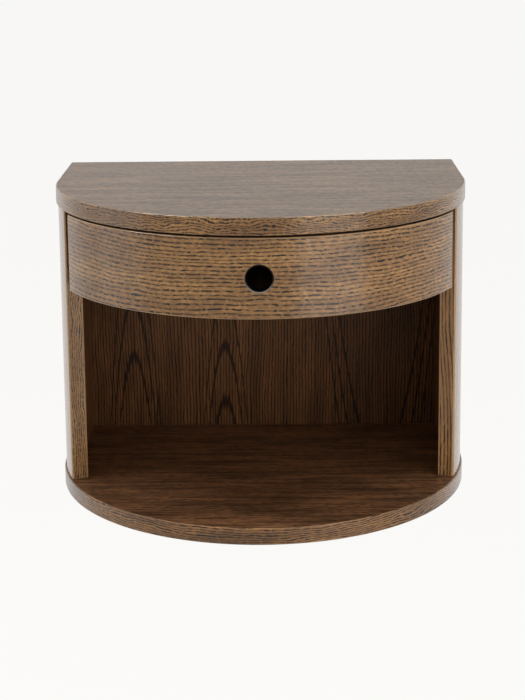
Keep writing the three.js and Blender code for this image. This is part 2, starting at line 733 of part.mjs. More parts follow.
function drawerSide(hand, sign) {
  const radius = frontInner - glueLine;
  const inner = Math.acos(drawerSideInner / radius);
  const outer = Math.acos(drawerSideOuter / radius);
  const outline = [
    new THREE.Vector2(drawerSideInner, drawerRearY),
    ...arcPoints(radius, -inner, -outer),
    new THREE.Vector2(drawerSideOuter, drawerRearY),
  ];
  const blank = prism(outline, drawerSideHeight).translate(0, 0, drawerSideBottomZ);
  const housing = block(
    [drawerSideInner - overrun, drawerBackY - grooveClearance, drawerSideBottomZ - overrun],
    [drawerSideInner + housingDepth, drawerRearY + overrun, drawerSideTopZ + overrun],
  );
  const pilots = Object.values(runnerScrews).map((y) =>
    drilled(screwShankDiameter / 2 + holeClearance, [drawerSideOuter + overrun, y, runnerZ],
      [drawerSideOuter - drawerScrewLength, y, runnerZ]));
  const solid = cut(blank, [bottomGroove(), housing, ...drawerDowelHoles(drawerSideMiddle), ...pilots]);
  const mesh = piece(`drawer_side_${hand}`, solid, plainWood);
  mesh.scale.x = sign;
  return mesh;
}

function drawerBack() {
  const half = drawerSideInner + housingDepth - grooveClearance;
  const blank = block([-half, drawerBackY, drawerSideBottomZ], [half, drawerRearY, drawerSideTopZ]);
  return piece('drawer_back', cut(blank, [bottomGroove()]), plainWood);
}

function drawerBottom() {
  return piece('drawer_bottom', prism(drawerBottomOutline(0), bottomThickness), plainWood, [0, 0, bottomZ]);
}

function drawerDowelPieces(hand, sign) {
  const y = drawerDowelY - drawerDowelInFace + drawerDowelLength / 2;
  return Object.entries(drawerDowelLevels).map(([level, z]) =>
    piece(`drawer_dowel_${hand}_${level}`, dowelGeometry(drawerDowelDiameter, drawerDowelLength), plainWood,
      [sign * drawerSideMiddle, y, z]));
}

// The whole nightstand
const nightstand = new THREE.Group();
nightstand.add(...slabs(), backPanel(), ...backDowelPieces(), ...hangers());
nightstand.add(drawerFront(), fingerHoleLiner(), drawerBack(), drawerBottom());

for (const [hand, sign] of [['left', -1], ['right', 1]]) {
  const half = new THREE.Group();
  half.scale.x = sign;
  half.add(sidePanel(hand), batten(hand), ...sideDowelPieces(hand), ...backEndDowelPieces(hand));
  const slide = runner(hand);
  slide.position.set(sign * battenInner, runnerY, runnerZ);
  slide.rotation.y = sign > 0 ? Math.PI : 0;
  nightstand.add(half, slide, drawerSide(hand, sign), ...drawerDowelPieces(hand, sign));
}

export default nightstand;
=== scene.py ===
"""Floating nightstand: finishes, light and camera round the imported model, in metres."""

import json
import math
from collections import namedtuple

import bpy
from mathutils import Matrix, Vector

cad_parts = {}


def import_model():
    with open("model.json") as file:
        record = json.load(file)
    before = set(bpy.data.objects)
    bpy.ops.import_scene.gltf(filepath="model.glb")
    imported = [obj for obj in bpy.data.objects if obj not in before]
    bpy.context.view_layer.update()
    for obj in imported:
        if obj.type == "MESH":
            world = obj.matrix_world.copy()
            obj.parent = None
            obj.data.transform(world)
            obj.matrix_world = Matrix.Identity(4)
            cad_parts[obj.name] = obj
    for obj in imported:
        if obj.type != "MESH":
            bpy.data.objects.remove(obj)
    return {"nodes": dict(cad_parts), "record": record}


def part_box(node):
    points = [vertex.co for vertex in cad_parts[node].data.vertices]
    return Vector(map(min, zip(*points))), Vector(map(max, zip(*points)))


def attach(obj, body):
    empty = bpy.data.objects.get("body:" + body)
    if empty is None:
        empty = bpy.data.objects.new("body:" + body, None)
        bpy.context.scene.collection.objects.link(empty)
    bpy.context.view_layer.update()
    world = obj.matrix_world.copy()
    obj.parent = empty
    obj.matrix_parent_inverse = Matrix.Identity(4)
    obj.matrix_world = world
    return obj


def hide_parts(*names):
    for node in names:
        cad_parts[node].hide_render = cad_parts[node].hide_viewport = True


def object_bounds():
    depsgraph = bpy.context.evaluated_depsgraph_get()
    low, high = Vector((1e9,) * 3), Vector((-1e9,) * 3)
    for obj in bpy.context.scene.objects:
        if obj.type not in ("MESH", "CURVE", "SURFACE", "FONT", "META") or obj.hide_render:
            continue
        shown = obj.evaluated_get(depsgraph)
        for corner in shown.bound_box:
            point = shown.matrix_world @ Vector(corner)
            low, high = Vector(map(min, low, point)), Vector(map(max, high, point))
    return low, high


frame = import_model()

cad_box = [list(corner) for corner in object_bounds()]

# Shapes of the boards
EDGE = 0.001  # rounding of the long edges
CORNER = 0.0017  # rounding of the upright corners
HOLE_EDGE = 0.0004  # rounding of the finger hole
LINER_WALL = 0.0012
LINER_PLAY = 0.0001

# Materials of a board, in the order of its slots
# the slot of the sides' inner faces takes a darker look, painted shade
FACE_FINISH, EDGE_FINISH, OUTER_FINISH, INNER_PAINTED_SHADE_FINISH = range(4)

# How finely the boards are drawn
SPACING = 0.004  # between the points of an arc
SHARP_TURN = 0.1  # radians from which a corner between two stretches is rounded
CORNER_STEPS = 5
EDGE_STEPS = 4
FIRST_LEVEL = EDGE_STEPS + 1  # ring of a board's points that lies at its lowest level
LEAN_POWER = 7  # odd: the higher it is, the more of a rounded edge is shaded as a chamfer
WINDOW_STEPS = 12  # columns and rows of the patch round the finger hole
WINDOW_REACH = 1.6  # half width of that patch, in radii of the hole
HOLE_STEPS = 4 * WINDOW_STEPS

# Places read from the frame
slab_low, slab_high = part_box("bottom_panel")
top_low, top_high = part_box("top_panel")
side_low, side_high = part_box("side_panel_left")
front_low, front_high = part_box("drawer_front")
liner_low, liner_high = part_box("finger_hole_liner")
back_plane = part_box("back_panel")[0].y

wall_y = slab_high.y
slab_radius = slab_high.x
arc_y = slab_low.y + slab_radius
thickness = slab_high.z - slab_low.z
side_outer = max(abs(side_low.x), abs(side_high.x))
side_inner = side_outer - thickness
front_outer = arc_y - front_low.y
front_inner = front_outer - thickness
hole_radius = (liner_high.x - liner_low.x) / 2 + LINER_PLAY
hole_z = (liner_low.z + liner_high.z) / 2
window_half = WINDOW_REACH * hole_radius

CENTRE = Vector((0, arc_y))
FRONT_FACES = ((front_outer, 1), (front_inner, -1))  # radius and side: 1 outside, -1 inside
WINDOW_STRETCHES = (1, 5)  # the patch on each of these faces, in the outline of the drawer front


# Plan outlines
class Line:
    """A straight stretch of an outline, and the finish of the face along it."""

    def __init__(self, start, end, finish=EDGE_FINISH):
        self.start = Vector(start)
        self.direction = (Vector(end) - self.start).normalized()
        self.length = (Vector(end) - self.start).length
        self.steps = 1
        self.finish = finish

    def at(self, along):
        """The place at a length along the stretch, and the direction there."""
        return self.start + self.direction * along, self.direction


class Arc:
    """A stretch of a circle round the centre of the half circle, between two angles."""

    def __init__(self, radius, start, end, finish=EDGE_FINISH, steps=None):
        self.radius = radius
        self.start = start
        self.turn = math.copysign(1, end - start)
        self.length = radius * abs(end - start)
        self.steps = steps or math.ceil(self.length / SPACING)
        self.finish = finish

    def at(self, along):
        """The place at a length along the stretch, and the direction there."""
        angle = self.start + self.turn * along / self.radius
        spoke = Vector((math.cos(angle), math.sin(angle)))
        return CENTRE + spoke * self.radius, Vector((-spoke.y, spoke.x)) * self.turn


# A point of an outline. Its stretch is None on a rounded corner.
Spot = namedtuple("Spot", "place normal along stretch")


def outward(direction):
    return Vector((direction.y, -direction.x))


def corner_turn(before, after):
    """How far an outline turns left where one stretch meets the next."""
    first = before.at(before.length)[1]
    second = after.at(0)[1]
    return math.atan2(first.x * second.y - first.y * second.x, first.dot(second))


def rounded_corner(stretch, trim, turn, along):
    """Spots on the arc that takes the place of the sharp corner at a stretch's end."""
    place, direction = stretch.at(stretch.length - trim)
    middle = place - outward(direction) * CORNER
    spots = []
    for step in range(1, CORNER_STEPS):
        turned = turn * step / CORNER_STEPS
        normal = Matrix.Rotation(turned, 2) @ outward(direction)
        spots.append(Spot(middle + normal * CORNER, normal, along + CORNER * turned, None))
    return spots


def outline(stretches):
    """Spots along a closed outline, anticlockwise, with its sharp corners rounded, and its length."""
    pairs = zip(stretches, stretches[1:] + stretches[:1])
    turns = [corner_turn(before, after) for before, after in pairs]
    trims = [CORNER * math.tan(turn / 2) if turn > SHARP_TURN else 0 for turn in turns]
    spots = []
    along = 0
    for i, stretch in enumerate(stretches):
        length = stretch.length - trims[i - 1] - trims[i]
        last = stretch.steps if trims[i] else stretch.steps - 1
        for step in range(last + 1):
            reach = length * step / stretch.steps
            place, direction = stretch.at(trims[i - 1] + reach)
            spots.append(Spot(place, outward(direction), along + reach, i))
        along += length
        if trims[i]:
            spots.extend(rounded_corner(stretch, trims[i], turns[i], along))
            along += CORNER * turns[i]
    return spots, along


# Meshes with their own normals and grain coordinates
class Shell:
    """Points with their normals and a mask of edge abrasion and painted highlight, and faces with grain
    coordinates and a finish for each.
    """

    def __init__(self):
        self.places = []
        self.normals = []
        self.wear_and_highlight = []
        self.faces = []
        self.grain = []
        self.finish = []

    def point(self, place, normal, wear_and_highlight):
        self.places.append(tuple(place))
        self.normals.append(tuple(normal))
        self.wear_and_highlight.append(wear_and_highlight)
        return len(self.places) - 1

    def face(self, corners, grain, finish):
        self.faces.append(corners)
        self.grain.extend(grain)
        self.finish.append(finish)

    def build(self, name, materials):
        mesh = bpy.data.meshes.new(name)
        mesh.from_pydata(self.places, [], self.faces)
        for material in materials:
            mesh.materials.append(material)
        mesh.polygons.foreach_set("material_index", self.finish)
        mesh.polygons.foreach_set("use_smooth", [True] * len(self.faces))
        layer = mesh.uv_layers.new(name="grain")
        layer.data.foreach_set("uv", [value for pair in self.grain for value in pair])
        wear_and_highlight = mesh.attributes.new("wear_and_highlight", "FLOAT", "POINT")
        wear_and_highlight.data.foreach_set("value", self.wear_and_highlight)
        mesh.normals_split_custom_set_from_vertices(self.normals)
        piece = bpy.data.objects.new(name, mesh)
        bpy.context.collection.objects.link(piece)
        return piece


def edge_rings(low, high, levels):
    """Inset, height and lean of each ring of points, from the lower face up to the upper one."""
    lower = []
    upper = []
    for step in range(EDGE_STEPS + 1):
        share = 2 * step / EDGE_STEPS - 1
        turn = math.pi / 4 * (1 + share)
        lean = math.pi / 4 * (1 + share ** LEAN_POWER)
        inset = EDGE * (1 - math.cos(turn))
        drop = EDGE * (1 - math.sin(turn))
        lower.append((inset, low + drop, -lean))
        upper.append((inset, high - drop, lean))
    return lower[::-1] + [(0, level, 0) for level in levels] + upper


def ring_points(shell, spots, rings):
    """A table of a board's points, ring by ring. The rounded edges and corners carry the mask of abrasion
    and painted highlight.
    """
    table = []
    for inset, z, lean in rings:
        row = []
        for spot in spots:
            place = spot.place - spot.normal * inset
            normal = spot.normal * math.cos(lean)
            wear_and_highlight = 1.0 if spot.stretch is None else math.sin(2 * abs(lean))
            row.append(shell.point((*place, z), (*normal, math.sin(lean)), wear_and_highlight))
        table.append(row)
    return table


def board(shell, stretches, low, high, upright=False, levels=(), opening=()):
    """A board over a plan outline. Between the levels, the stretches numbered in opening stay open."""
    spots, round_length = outline(stretches)
    rings = edge_rings(low, high, levels)
    table = ring_points(shell, spots, rings)
    open_rows = range(FIRST_LEVEL, FIRST_LEVEL + len(levels) - 1)
    for j in range(len(rings) - 1):
        below, above = rings[j][1], rings[j + 1][1]
        for i, spot in enumerate(spots):
            if j in open_rows and spot.stretch in opening:
                continue
            after = (i + 1) % len(spots)
            end = spots[after].along if after else round_length
            corners = (table[j][i], table[j][after], table[j + 1][after], table[j + 1][i])
            grain = [(spot.along, below), (end, below), (end, above), (spot.along, above)]
            if upright:
                grain = [(z, along) for along, z in grain]
            finish = EDGE_FINISH if spot.stretch is None else stretches[spot.stretch].finish
            shell.face(corners, grain, finish)
    for ring in (table[0][::-1], table[-1]):
        shell.face(ring, [shell.places[i][:2] for i in ring], FACE_FINISH)
    return spots, table


# Outlines of the boards
def corner_angle(radius, reach):
    """The angle of a radial cut, from how far its rounded corner reaches."""
    middle = radius - CORNER
    return math.asin((reach - CORNER) / middle) + math.asin(CORNER / middle)


def radial_cut(start, end, angle):
    """The ends of a straight cut along a spoke of the half circle, from one radius to another."""
    spoke = Vector((math.cos(angle), math.sin(angle)))
    return CENTRE + spoke * start, CENTRE + spoke * end


def slab_outline():
    """The outline of the top panel and of the bottom panel."""
    return [
        Line((-slab_radius, wall_y), (-slab_radius, arc_y)),
        Arc(slab_radius, math.pi, 2 * math.pi),
        Line((slab_radius, arc_y), (slab_radius, wall_y)),
        Line((slab_radius, wall_y), (-slab_radius, wall_y)),
    ]


def left_side_outline():
    angle = math.pi + corner_angle(side_outer, arc_y - side_low.y)
    return [
        Arc(side_outer, math.pi, angle, OUTER_FINISH),
        Line(*radial_cut(side_outer, side_inner, angle)),
        Arc(side_inner, angle, math.pi, INNER_PAINTED_SHADE_FINISH),
        Line((-side_inner, arc_y), (-side_inner, wall_y), INNER_PAINTED_SHADE_FINISH),
        Line((-side_inner, wall_y), (-side_outer, wall_y)),
        Line((-side_outer, wall_y), (-side_outer, arc_y), OUTER_FINISH),
    ]


def right_side_outline():
    angle = -corner_angle(side_outer, arc_y - side_low.y)
    return [
        Arc(side_outer, angle, 0, OUTER_FINISH),
        Line((side_outer, arc_y), (side_outer, wall_y), OUTER_FINISH),
        Line((side_outer, wall_y), (side_inner, wall_y)),
        Line((side_inner, wall_y), (side_inner, arc_y), INNER_PAINTED_SHADE_FINISH),
        Arc(side_inner, 0, angle, INNER_PAINTED_SHADE_FINISH),
        Line(*radial_cut(side_inner, side_outer, angle)),
    ]


def front_outline():
    end = corner_angle(front_outer, front_high.x)
    window = math.asin(window_half / front_outer)
    down = -math.pi / 2
    return [
        Arc(front_outer, down - end, down - window),
        Arc(front_outer, down - window, down + window, steps=WINDOW_STEPS),
        Arc(front_outer, down + window, down + end),
        Line(*radial_cut(front_outer, front_inner, down + end)),
        Arc(front_inner, down + end, down + window),
        Arc(front_inner, down + window, down - window, steps=WINDOW_STEPS),
        Arc(front_inner, down - window, down - end),
        Line(*radial_cut(front_inner, front_outer, down - end)),
    ]


# The finger hole
PATCH_CORNER = math.radians(-135)  # direction of the patch's first corner from the hole


def window_levels():
    """The heights between the rows of the patch."""
    lowest = hole_z - window_half
    return [lowest + 2 * window_half * step / WINDOW_STEPS for step in range(WINDOW_STEPS + 1)]


def window_loop(table, first, rows):
    """The points round the patch, anticlockwise, from its lower corner at the first column."""
    last = first + WINDOW_STEPS
    low, high = rows[0], rows[-1]
    return (
        [table[low][i] for i in range(first, last)]
        + [table[j][last] for j in range(low, high)]
        + [table[high][i] for i in range(last, first, -1)]
        + [table[j][first] for j in range(high, low, -1)]
    )


def face_y(radius, x):
    """Where the drawer front's face of this radius lies at x."""
    return arc_y - math.sqrt(radius ** 2 - x ** 2)


def hole_ring(shell, radius, depth, lean, face_radius, side):
    """Points round the hole's edge, on the face at face_radius, and in from it by depth."""
    ring = []
    for step in range(HOLE_STEPS):
        angle = PATCH_CORNER + 2 * math.pi * step / HOLE_STEPS
        x = side * radius * math.cos(angle)
        y = face_y(face_radius, x) + side * depth
        z = hole_z + radius * math.sin(angle)
        face_normal = Vector((x, y - arc_y, 0)).normalized() * side
        inward_normal = Vector((-side * math.cos(angle), 0, -math.sin(angle)))
        normal = (face_normal * math.cos(lean) + inward_normal * math.sin(lean)).normalized()
        # the hole's rounded edge carries the mask of abrasion and painted highlight
        ring.append(shell.point((x, y, z), normal, math.sin(2 * lean)))
    return ring


def join_rings(shell, outer, inner, grain_at, finish):
    """A band of faces between two rings of as many points each."""
    for step in range(len(outer)):
        after = (step + 1) % len(outer)
        corners = (outer[step], outer[after], inner[after], inner[step])
        shell.face(corners, [grain_at(Vector(shell.places[i])) for i in corners], finish)


def pierce(shell, spots, table):
    """Joins the two open patches of the drawer front with a round hole."""
    rows = range(FIRST_LEVEL, FIRST_LEVEL + WINDOW_STEPS + 1)
    ends = []
    for stretch, (face_radius, side) in zip(WINDOW_STRETCHES, FRONT_FACES):
        first = next(i for i, spot in enumerate(spots) if spot.stretch == stretch)
        middle = spots[first + WINDOW_STEPS // 2].along

        def grain_at(place):
            return middle + side * face_radius * math.asin(place.x / face_radius), place.z

        ring = window_loop(table, first, rows)
        for step in range(EDGE_STEPS + 1):
            lean = math.pi / 2 * step / EDGE_STEPS
            radius = hole_radius + HOLE_EDGE * (1 - math.sin(lean))
            depth = HOLE_EDGE * (1 - math.cos(lean))
            inner = hole_ring(shell, radius, depth, lean, face_radius, side)
            join_rings(shell, ring, inner, grain_at, EDGE_FINISH)
            ring = inner
        ends.append(ring)
    outer, inner = ends
    # The inner ring runs the other way round, and its second corner lies behind the outer ring's first one
    mirrored = [inner[(WINDOW_STEPS - step) % HOLE_STEPS] for step in range(HOLE_STEPS)]
    join_rings(shell, outer, mirrored, lambda place: (place.y, place.z), EDGE_FINISH)


def liner_ring(shell, radius, depth, lean, face_radius, side):
    """Points round the sleeve's lip. Its lower half on the front face carries the mask of a pale painted
    reflection.
    """
    ring = []
    for step in range(HOLE_STEPS):
        angle = 2 * math.pi * step / HOLE_STEPS
        across = Vector((math.cos(angle), 0, math.sin(angle)))
        x = radius * across.x
        y = face_y(face_radius, x) + side * depth
        normal = across * math.cos(lean) + Vector((0, -side, 0)) * math.sin(lean)
        # a pale painted reflection on the lower half of the lip's front
        rubbed_and_highlit = max(0, -across.z) * max(0, math.sin(lean)) * (side > 0)
        ring.append(shell.point((x, y, hole_z + radius * across.z), normal, rubbed_and_highlit))
    return ring


def liner(shell):
    """The black sleeve in the finger hole, flush with both faces of the drawer front."""
    outer = hole_radius - LINER_PLAY
    lip = LINER_WALL / 2
    ends = []
    for face_radius, side in FRONT_FACES:
        rings = []
        for step in range(2 * EDGE_STEPS + 1):
            lean = math.pi * step / (2 * EDGE_STEPS)
            radius = outer - lip * (1 - math.cos(lean))
            depth = lip * (1 - math.sin(lean))
            rings.append(liner_ring(shell, radius, depth, lean, face_radius, side))
        ends.append(rings)
    front, back = ends
    loop = front + back[::-1]
    for ring, after in zip(loop, loop[1:] + loop[:1]):
        join_rings(shell, ring, after, lambda place: (place.x, place.z), FACE_FINISH)


# Shader nodes
MIX_FACTOR, MIX_FIRST, MIX_SECOND = 0, 6, 7  # sockets of a Mix node that mixes colours
MIX_RESULT = 2

# The curve of a screen's colours, straight in its darkest part
STRAIGHT_END = 0.04045
STRAIGHT_SLOPE = 12.92
CURVE_OFFSET = 0.055
CURVE_POWER = 2.4


def linear(value):
    """The light of a screen's value from 0 to 255, as a share of the most."""
    share = value / 255
    if share <= STRAIGHT_END:
        return share / STRAIGHT_SLOPE
    return ((share + CURVE_OFFSET) / (1 + CURVE_OFFSET)) ** CURVE_POWER


def srgb(red, green, blue):
    """A colour as it is seen on a screen, 0 to 255, as linear light."""
    return (linear(red), linear(green), linear(blue), 1)


class Nodes:
    """Short calls that each add one node, or a few, and return an output."""

    def __init__(self, tree):
        self.tree = tree
        tree.nodes.clear()

    def add(self, kind, values=(), output=0, **settings):
        node = self.tree.nodes.new(kind)
        for name, value in settings.items():
            setattr(node, name, value)
        pairs = values.items() if isinstance(values, dict) else enumerate(values)
        for key, value in pairs:
            self.feed(node.inputs[key], value)
        return node.outputs[output] if node.outputs else None

    def feed(self, socket, value):
        if isinstance(value, bpy.types.NodeSocket):
            self.tree.links.new(value, socket)
        else:
            socket.default_value = value

    def math(self, operation, *values):
        return self.add("ShaderNodeMath", values, operation=operation)

    def vector(self, *values):
        return self.add("ShaderNodeCombineXYZ", values)

    def split(self, vector):
        node = self.tree.nodes.new("ShaderNodeSeparateXYZ")
        self.feed(node.inputs[0], vector)
        return node.outputs

    def axes(self):
        """The place in the cabinet, as x, y and z in metres."""
        return self.split(self.add("ShaderNodeTexCoord", output="Object"))

    # The mask of abrasion and painted highlight on the pieces' points
    def wear_and_highlight(self):
        return self.add("ShaderNodeAttribute", output="Fac", attribute_name="wear_and_highlight")

    def noise(self, u, v, w, detail=2.0, roughness=0.5):
        """Noise from 0 to 1 at three coordinates. One that is a pair is a socket and its scale in 1/m."""
        scaled = [self.math("MULTIPLY", *pair) if isinstance(pair, tuple) else pair for pair in (u, v, w)]
        values = {"Vector": self.vector(*scaled), "Scale": 1.0, "Detail": detail, "Roughness": roughness}
        return self.add("ShaderNodeTexNoise", values)

    def step(self, value, low, high):
        """0 below low, 1 above high, and smooth between."""
        values = (value, low, high)
        return self.add("ShaderNodeMapRange", values, interpolation_type="SMOOTHSTEP")

    def moved(self, value, noise, reach):
        """A value moved by a noise, over reach in all."""
        return self.math("MULTIPLY_ADD", self.math("SUBTRACT", noise, 0.5), reach, value)

    def mix(self, factor, first, second, blend="MIX"):
        node = self.tree.nodes.new("ShaderNodeMix")
        node.data_type = "RGBA"
        node.blend_type = blend
        for key, value in ((MIX_FACTOR, factor), (MIX_FIRST, first), (MIX_SECOND, second)):
            self.feed(node.inputs[key], value)
        return node.outputs[MIX_RESULT]

    def shaded(self, colour, shade):
        """A colour times a shade, of which 1 leaves it as it is."""
        return self.mix(1.0, colour, self.vector(shade, shade, shade), "MULTIPLY")


def new_material(name):
    material = bpy.data.materials.new(name)
    material.use_nodes = True
    return material, Nodes(material.node_tree)


def surface(nodes, values, height, depth):
    """The shader at the end of a material, with a bump where a height of 1 is depth metres."""
    bump = nodes.add("ShaderNodeBump", {"Height": height, "Distance": depth, "Strength": 1.0})
    shader = nodes.add("ShaderNodeBsdfPrincipled", {**values, "Normal": bump})
    nodes.add("ShaderNodeOutputMaterial", {"Surface": shader})


# A noise with its scales along and across the grain, in 1/m
Noise = namedtuple("Noise", "along across seed detail roughness", defaults=(0.5,))


def grain_noise(nodes, u, v, noise, seed=0.0):
    """A noise stretched along the grain. The seed given is added to the noise's own."""
    scaled = ((u, noise.along), (v, noise.across))
    return nodes.noise(*scaled, seed + noise.seed, noise.detail, noise.roughness)


def grain_map(nodes):
    """Metres along and across the grain, from the piece's own map."""
    return nodes.split(nodes.add("ShaderNodeUVMap", uv_map="grain"))[:2]


def grain_upright(nodes):
    """Metres along and across an upright grain, from the place in the cabinet."""
    x, y, z = nodes.axes()
    return z, nodes.math("ADD", x, y)


# Dark-stained oak veneer
Oak = namedtuple("Oak", (
    "light", "dark",  # tones of the wood
    "pore", "worn",  # colours of the pores, and of the abraded edges with their painted highlight
    "rub",  # how far the edges are abraded paler and painted with a highlight, from 0 to 1
    "spacing",  # of the growth rings, in metres
    "row",  # half width of a row of pores, in rings
    "pitch",  # from pore to pore in a row, in metres
    "cover",  # length of a pore, in pitches
    "depth",  # darkness of the pores, from 0 to 1
    "between",  # darkness of the rows between the rings, from 0 to 1
    "wander",  # how far the rings wander in metres, and the scales of it along and across in 1/m
    "ribs",  # how much paler the wood is between two rows
    "streaks",  # darkness of the streaks, and their scale along the grain in 1/m
    "seed",
    "gloss",  # specular level of the wood
    "coat", "index", "sheen",  # of the lacquer
    "arches",  # or None
), defaults=(0.0, None))

# Growth rings of the oak
WAVES = Noise(4.0, 9.0, 0.0, 1.0)
WAVE_REACH = 0.022  # in metres
WANDER_SEED = 3.0
FRAYING = Noise(170.0, 260.0, 5.0, 2.0)
FRAYING_REACH = 0.45  # in rings
UNEVEN_SCALE = 90.0  # across the grain, in 1/m
UNEVEN_SLICE = 0.5  # third coordinate of this noise
UNEVEN_REACH = 0.9  # in rings

# Pores in a row. A size is a square, and a pore of size 1 is as wide as its row and as long as its cover
PORE_SIZE = 1.25
PORE_BLUR = 0.35  # how much of that is the pore's soft edge
FAINTEST_PORE = 0.5
BREAKS = Noise(330.0, 800.0, 9.0, 1.0)
BREAK_SIZE = 0.6  # what the breaks take off a pore's size at most
ROW_WAVES = (0.9, 1.7)  # scales in 1/pitch and from row to row
ROW_WAVE_SEED = 7.0
ROW_WAVE_REACH = 3.0  # in pitches

# Small pores all over the oak. An edge is where a soft step starts and where it ends
SMALL_PORES = Noise(160.0, 1000.0, 11.0, 1.0)
SMALL_PORE_EDGE = (0.54, 0.68)
SMALL_PORE_DARKNESS = 0.3

# Tones of the oak between its pores
FIBRE = Noise(16.0, 950.0, 17.0, 4.0, 0.7)
FIBRE_SHADE = (0.7, 0.65)  # factor, and what is added
FIBRE_ROUGHNESS = (0.16, 0.38)  # factor, and what is added
FIBRE_HEIGHT = 0.2  # as a share of a pore's depth
CLOUDS = Noise(9.0, 40.0, 23.0, 3.0, 0.6)
CLOUD_EDGE = (0.32, 0.68)
RUBBED_AND_HIGHLIT_EDGE = (0.25, 0.5)  # value of the clouds from which the edges are abraded paler, with a painted highlight
RIB_EDGE = (0.08, 0.42)  # in rings from a row of pores
STREAK_ACROSS = 160.0  # scale across the grain, in 1/m
STREAK_SEED = 29.0
STREAK_EDGE = (0.42, 0.66)

# Surface of the oak
PORE_DEPTH = 0.0002
COAT_ROUGHNESS = 0.20
SHEEN_ROUGHNESS = 0.35

# Arches of dark lines: x of the axis, height of the apex, and the bend in 1/m, below 0 for one upside down
Arch = namedtuple("Arch", "x apex bend")

ARCH_STEP = 0.060  # height between the lines of an arch
ARCH_FRAYING = 0.03  # in metres
ARCH_DARKNESS = 0.88
LINE_EDGE = (0.06, 0.15)  # in steps from the middle of a line
FIRST_LINE_EDGE = (-0.5, -0.3)  # in steps from the apex
LAST_LINE_EDGE = (2.0, 2.8)


def arch_lines(nodes, u, v, fibre, arches):
    """Thin dark lines one above the other round the axis of each arch, frayed along the grain, 0 to 1."""
    lines = 0.0
    height = nodes.moved(u, fibre, ARCH_FRAYING)
    for arch in arches:
        across = nodes.math("SUBTRACT", v, back_plane + arch.x)
        squared = nodes.math("MULTIPLY", across, across)
        bent = nodes.math("MULTIPLY_ADD", squared, arch.bend, nodes.math("SUBTRACT", height, arch.apex))
        count = nodes.math("MULTIPLY", bent, 1 / math.copysign(ARCH_STEP, arch.bend))
        away = nodes.math("PINGPONG", count, 0.5)
        line = nodes.math("SUBTRACT", 1.0, nodes.step(away, *LINE_EDGE))
        line = nodes.math("MULTIPLY", line, nodes.step(count, *FIRST_LINE_EDGE))
        within = nodes.math("SUBTRACT", 1.0, nodes.step(count, *LAST_LINE_EDGE))
        line = nodes.math("MULTIPLY", line, within)
        lines = nodes.math("MAXIMUM", lines, line)
    return lines


def growth(nodes, u, v, look):
    """Growth rings counted across the grain."""
    slow = grain_noise(nodes, u, v, WAVES, look.seed)
    reach, along, across = look.wander
    quick = nodes.noise((u, along), (v, across), look.seed + WANDER_SEED)
    waved = nodes.moved(nodes.moved(v, slow, WAVE_REACH), quick, reach)
    frayed = grain_noise(nodes, u, v, FRAYING, look.seed)
    waved = nodes.math("MULTIPLY_ADD", frayed, look.spacing * FRAYING_REACH, waved)
    uneven = nodes.noise((waved, UNEVEN_SCALE), look.seed, UNEVEN_SLICE, detail=1.0)
    return nodes.math("MULTIPLY_ADD", uneven, UNEVEN_REACH, nodes.math("DIVIDE", waved, look.spacing))


def dashes(nodes, u, ring, broken, look, shift):
    """A broken row of pores along every growth ring, from 0 to 1. A shift moves the rows, in rings."""
    shifted = nodes.math("ADD", ring, shift)
    row = nodes.math("FLOOR", shifted)
    start = nodes.add("ShaderNodeTexWhiteNoise", {"W": row}, noise_dimensions="1D")
    wave_along, wave_across = ROW_WAVES
    seed = look.seed + ROW_WAVE_SEED + shift
    uneven = nodes.noise((u, wave_along / look.pitch), (row, wave_across), seed, detail=1.0)
    along = nodes.math("MULTIPLY_ADD", u, 1 / look.pitch, start)
    along = nodes.math("MULTIPLY_ADD", uneven, ROW_WAVE_REACH, along)
    across = nodes.math("MULTIPLY_ADD", nodes.math("FRACT", shifted), 1 / look.row, -0.5 / look.row)
    reach = nodes.math("MULTIPLY_ADD", nodes.math("FRACT", along), 2 / look.cover, -1 / look.cover)
    squares = nodes.math("MULTIPLY_ADD", across, across, nodes.math("MULTIPLY", reach, reach))
    away = nodes.math("MULTIPLY_ADD", broken, BREAK_SIZE, squares)
    pore = nodes.step(nodes.math("SUBTRACT", PORE_SIZE, away), 0.0, PORE_BLUR)
    where = nodes.vector(row, nodes.math("FLOOR", along), look.seed + shift)
    chance = nodes.add("ShaderNodeTexWhiteNoise", {"Vector": where}, noise_dimensions="3D")
    strength = nodes.math("MULTIPLY_ADD", chance, 1 - FAINTEST_PORE, FAINTEST_PORE)
    return nodes.math("MULTIPLY", pore, strength)


def oak_pores(nodes, u, v, ring, look):
    """Rows of pores, fainter rows between them, and small pores all over, from 0 to 1."""
    broken = grain_noise(nodes, u, v, BREAKS, look.seed)
    fine = grain_noise(nodes, u, v, SMALL_PORES, look.seed)
    rows = dashes(nodes, u, ring, broken, look, shift=0.0)
    between = nodes.math("MULTIPLY", dashes(nodes, u, ring, broken, look, shift=0.5), look.between)
    small = nodes.math("MULTIPLY", nodes.step(fine, *SMALL_PORE_EDGE), SMALL_PORE_DARKNESS)
    pores = nodes.math("MAXIMUM", nodes.math("MAXIMUM", rows, between), small)
    return nodes.math("MULTIPLY", pores, look.depth)


def oak_shade(nodes, u, v, ring, fibre, look):
    """How light the wood is between its pores: paler away from the rows, with streaks and fibres."""
    streak_darkness, streak_along = look.streaks
    streak = nodes.noise((u, streak_along), (v, STREAK_ACROSS), look.seed + STREAK_SEED)
    from_row = nodes.math("ABSOLUTE", nodes.math("SUBTRACT", nodes.math("FRACT", ring), 0.5))
    shade = nodes.math("MULTIPLY_ADD", nodes.step(from_row, *RIB_EDGE), look.ribs, 1.0 - look.ribs / 2)
    streaks = nodes.math("MULTIPLY_ADD", nodes.step(streak, *STREAK_EDGE), -streak_darkness, 1.0)
    shade = nodes.math("MULTIPLY", shade, streaks)
    return nodes.math("MULTIPLY", shade, nodes.math("MULTIPLY_ADD", fibre, *FIBRE_SHADE))


